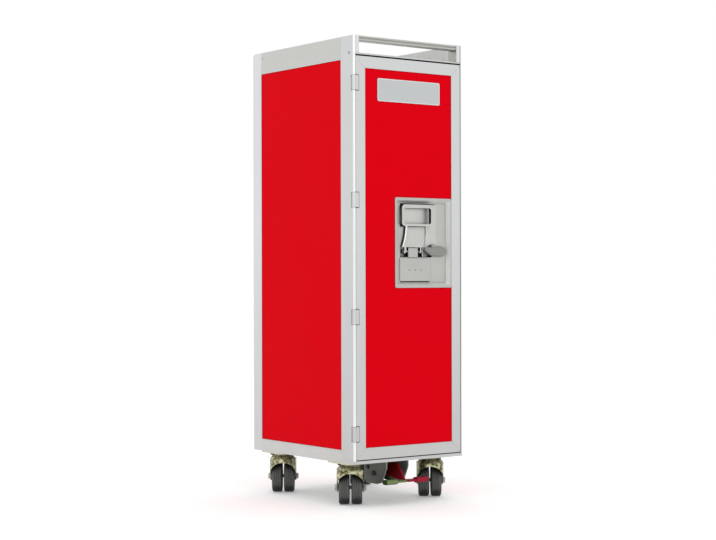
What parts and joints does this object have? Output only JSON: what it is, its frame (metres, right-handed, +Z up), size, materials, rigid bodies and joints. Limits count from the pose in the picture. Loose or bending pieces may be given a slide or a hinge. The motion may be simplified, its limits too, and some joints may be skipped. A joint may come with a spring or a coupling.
{
  "type": "airline galley trolley",
  "caption": "Half-size airline galley trolley: framed red cabinet with full-height hinged door, recessed latch, grab handles, foot-brake pedals and twin-wheel swivel casters.",
  "frame": {"origin": "on the floor, under the middle of the cabinet", "axes": "+Z up, the door faces -Y, hinged on -X and latched on +X"},
  "size_m": [0.3241, 0.4095, 1.03],
  "materials": {
    "red_laminate": "satin red laminate",
    "frame_aluminium": "satin anodised",
    "worktop_aluminium": "brushed",
    "latch_metal": "satin cast",
    "lever_grey": "grey moulded",
    "steel": "bright zinc",
    "yellow_zinc": "yellow passivated",
    "dark_plate": "dark grey coated",
    "red_enamel": "red coated",
    "green_enamel": "green coated",
    "seal_rubber": "matt black",
    "hub_nylon": "dark grey moulded",
    "tyre_rubber": "dark grey solid rubber"
  },
  "bodies": {
    "cabinet": {"side_panel_left": "red_laminate", "side_panel_right": "red_laminate", "back_panel": "red_laminate", "hinge_post": "frame_aluminium", "strike_post": "frame_aluminium", "rear_post_left": "frame_aluminium", "rear_post_right": "frame_aluminium", "top_rail_left": "frame_aluminium", "top_rail_right": "frame_aluminium", "bottom_rail_left": "frame_aluminium", "bottom_rail_right": "frame_aluminium", "worktop": "worktop_aluminium", "base_tray": "frame_aluminium", "front_handle": "frame_aluminium", "rear_handle": "frame_aluminium", "runner_rails": "frame_aluminium", "hinge_pin": "steel", "latch_keeper": "steel", "caster_plates": "yellow_zinc", "pedal_bracket": "dark_plate", "pedal_shaft": "steel"},
    "door": {"door_stile_hinge": "frame_aluminium", "door_stile_latch": "frame_aluminium", "door_rail_top": "frame_aluminium", "door_rail_bottom": "frame_aluminium", "door_panel": "red_laminate", "door_seal": "seal_rubber", "hinge_knuckles": "frame_aluminium", "latch_pan": "latch_metal", "pull_handle_pin": "steel"},
    "pull_handle": {"pull_handle": "latch_metal"},
    "turn_lever": {"turn_lever": "lever_grey"},
    "latch_bolt": {"latch_bolt": "steel"},
    "red_pedal": {"red_pedal": "red_enamel"},
    "green_pedal": {"green_pedal": "green_enamel"},
    "brake_rocker": {"brake_rocker": "steel"},
    "caster_front_left": {"fork_front_left": "yellow_zinc", "axle_front_left": "steel"},
    "wheel_front_left_outer": {"hub_front_left_outer": "hub_nylon", "tyre_front_left_outer": "tyre_rubber"},
    "wheel_front_left_inner": {"hub_front_left_inner": "hub_nylon", "tyre_front_left_inner": "tyre_rubber"},
    "caster_front_right": {"fork_front_right": "yellow_zinc", "axle_front_right": "steel"},
    "wheel_front_right_outer": {"hub_front_right_outer": "hub_nylon", "tyre_front_right_outer": "tyre_rubber"},
    "wheel_front_right_inner": {"hub_front_right_inner": "hub_nylon", "tyre_front_right_inner": "tyre_rubber"},
    "caster_rear_left": {"fork_rear_left": "yellow_zinc", "axle_rear_left": "steel"},
    "wheel_rear_left_outer": {"hub_rear_left_outer": "hub_nylon", "tyre_rear_left_outer": "tyre_rubber"},
    "wheel_rear_left_inner": {"hub_rear_left_inner": "hub_nylon", "tyre_rear_left_inner": "tyre_rubber"},
    "caster_rear_right": {"fork_rear_right": "yellow_zinc", "axle_rear_right": "steel"},
    "wheel_rear_right_outer": {"hub_rear_right_outer": "hub_nylon", "tyre_rear_right_outer": "tyre_rubber"},
    "wheel_rear_right_inner": {"hub_rear_right_inner": "hub_nylon", "tyre_rear_right_inner": "tyre_rubber"}
  },
  "joints": [
    {"name": "door_swing", "type": "hinge", "parent": "cabinet", "child": "door", "pos_m": [-0.1515, -0.203, 0.5465], "axis": [0, 0, -1], "range_deg": [0, 230]},
    {"name": "pull_handle_fold", "type": "hinge", "parent": "door", "child": "pull_handle", "pos_m": [0.003, -0.1925, 0.562], "axis": [1, 0, 0], "range_deg": [0, 60], "stiffness_Nm_per_rad": 0.12, "springref_deg": -28.65},
    {"name": "lever_turn", "type": "hinge", "parent": "door", "child": "turn_lever", "pos_m": [0.0954, -0.19625, 0.562], "axis": [0, -1, 0], "range_deg": [0, 90]},
    {"name": "bolt_throw", "type": "slide", "parent": "door", "child": "latch_bolt", "axis": [1, 0, 0], "range_m": [0, 0.00707]},
    {"name": "red_pedal_press", "type": "hinge", "parent": "cabinet", "child": "red_pedal", "pos_m": [0.014, -0.112, 0.064], "axis": [1, 0, 0], "range_deg": [0, 12]},
    {"name": "green_pedal_rise", "type": "hinge", "parent": "cabinet", "child": "green_pedal", "pos_m": [-0.014, -0.112, 0.064], "axis": [1, 0, 0], "range_deg": [-12, 0]},
    {"name": "rocker_tilt", "type": "hinge", "parent": "cabinet", "child": "brake_rocker", "pos_m": [0, -0.095, 0.072], "axis": [0, -1, 0], "range_deg": [0, 8.87]},
    {"name": "swivel_front_left", "type": "hinge", "parent": "cabinet", "child": "caster_front_left", "pos_m": [-0.113, -0.134, 0.088], "axis": [0, 0, 1], "continuous": true},
    {"name": "spin_front_left_outer", "type": "hinge", "parent": "caster_front_left", "child": "wheel_front_left_outer", "pos_m": [-0.08692, -0.12214, 0.0375], "axis": [0.8059, -0.592, 0], "continuous": true},
    {"name": "spin_front_left_inner", "type": "hinge", "parent": "caster_front_left", "child": "wheel_front_left_inner", "pos_m": [-0.10948, -0.10556, 0.0375], "axis": [0.8059, -0.592, 0], "continuous": true},
    {"name": "swivel_front_right", "type": "hinge", "parent": "cabinet", "child": "caster_front_right", "pos_m": [0.113, -0.134, 0.088], "axis": [0, 0, 1], "continuous": true},
    {"name": "spin_front_right_outer", "type": "hinge", "parent": "caster_front_right", "child": "wheel_front_right_outer", "pos_m": [0.13908, -0.12214, 0.0375], "axis": [0.8059, -0.592, 0], "continuous": true},
    {"name": "spin_front_right_inner", "type": "hinge", "parent": "caster_front_right", "child": "wheel_front_right_inner", "pos_m": [0.11652, -0.10556, 0.0375], "axis": [0.8059, -0.592, 0], "continuous": true},
    {"name": "swivel_rear_left", "type": "hinge", "parent": "cabinet", "child": "caster_rear_left", "pos_m": [-0.113, 0.134, 0.088], "axis": [0, 0, 1], "continuous": true},
    {"name": "spin_rear_left_outer", "type": "hinge", "parent": "caster_rear_left", "child": "wheel_rear_left_outer", "pos_m": [-0.08692, 0.14586, 0.0375], "axis": [0.8059, -0.592, 0], "continuous": true},
    {"name": "spin_rear_left_inner", "type": "hinge", "parent": "caster_rear_left", "child": "wheel_rear_left_inner", "pos_m": [-0.10948, 0.16244, 0.0375], "axis": [0.8059, -0.592, 0], "continuous": true},
    {"name": "swivel_rear_right", "type": "hinge", "parent": "cabinet", "child": "caster_rear_right", "pos_m": [0.113, 0.134, 0.088], "axis": [0, 0, 1], "continuous": true},
    {"name": "spin_rear_right_outer", "type": "hinge", "parent": "caster_rear_right", "child": "wheel_rear_right_outer", "pos_m": [0.13908, 0.14586, 0.0375], "axis": [0.8059, -0.592, 0], "continuous": true},
    {"name": "spin_rear_right_inner", "type": "hinge", "parent": "caster_rear_right", "child": "wheel_rear_right_inner", "pos_m": [0.11652, 0.16244, 0.0375], "axis": [0.8059, -0.592, 0], "continuous": true}
  ],
  "couplings": [
    {"joint": "bolt_throw", "follows": "lever_turn", "m_per_rad": 0.0045016},
    {"joint": "green_pedal_rise", "follows": "red_pedal_press", "ratio": -1},
    {"joint": "rocker_tilt", "follows": "red_pedal_press", "ratio": 0.73913}
  ]
}
